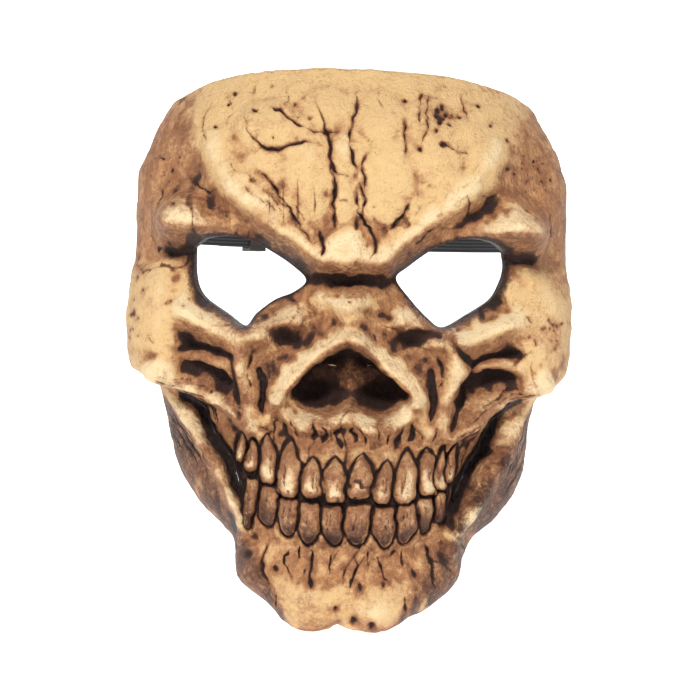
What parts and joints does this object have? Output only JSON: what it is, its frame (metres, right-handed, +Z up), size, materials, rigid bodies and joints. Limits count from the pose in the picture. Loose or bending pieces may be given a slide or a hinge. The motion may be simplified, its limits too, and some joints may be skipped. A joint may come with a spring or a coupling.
{
  "type": "latex halloween mask",
  "caption": "Cast latex skull face mask with open eyes and bared teeth, held on the head by a riveted elastic strap with a slide buckle and a keeper loop.",
  "frame": {"origin": "on the mid-plane, level with the wearer's pupils, at the bridge of the wearer's nose", "axes": "+Z up the face, -Y the way the face looks (+Y towards the back of the head), +X towards the right of the picture, the wearer's left"},
  "size_m": [0.172, 0.2141, 0.2105],
  "materials": {
    "painted_latex": "satin, aged bone paint with dark brown wash in the hollows",
    "backing_latex": "matte, bare latex",
    "rivet_metal": "antique brass",
    "washer_nylon": "natural nylon",
    "elastic_webbing": "woven elastic",
    "black_plastic": "moulded, satin",
    "sewing_thread": "sewing thread"
  },
  "bodies": {
    "mask": {"face_skin": "painted_latex", "left_patch": "backing_latex", "right_patch": "backing_latex", "left_rivet": "rivet_metal", "right_rivet": "rivet_metal", "left_rivet_cap": "rivet_metal", "right_rivet_cap": "rivet_metal", "left_washer": "washer_nylon", "right_washer": "washer_nylon"},
    "strap": {"left_strap": "elastic_webbing", "right_strap": "elastic_webbing", "strap_buckle": "black_plastic", "strap_stitches": "sewing_thread"},
    "keeper": {"strap_keeper": "black_plastic"}
  },
  "joints": [
    {"name": "strap_swing", "type": "hinge", "parent": "mask", "child": "strap", "pos_m": [0, 0.057, 0.019], "axis": [1, 0, 0], "range_deg": [-35, 20]},
    {"name": "keeper_slide", "type": "hinge", "parent": "strap", "child": "keeper", "pos_m": [-0.01769, 0.119, 0.019], "axis": [0, 0, 1], "range_deg": [-15, 11]}
  ]
}
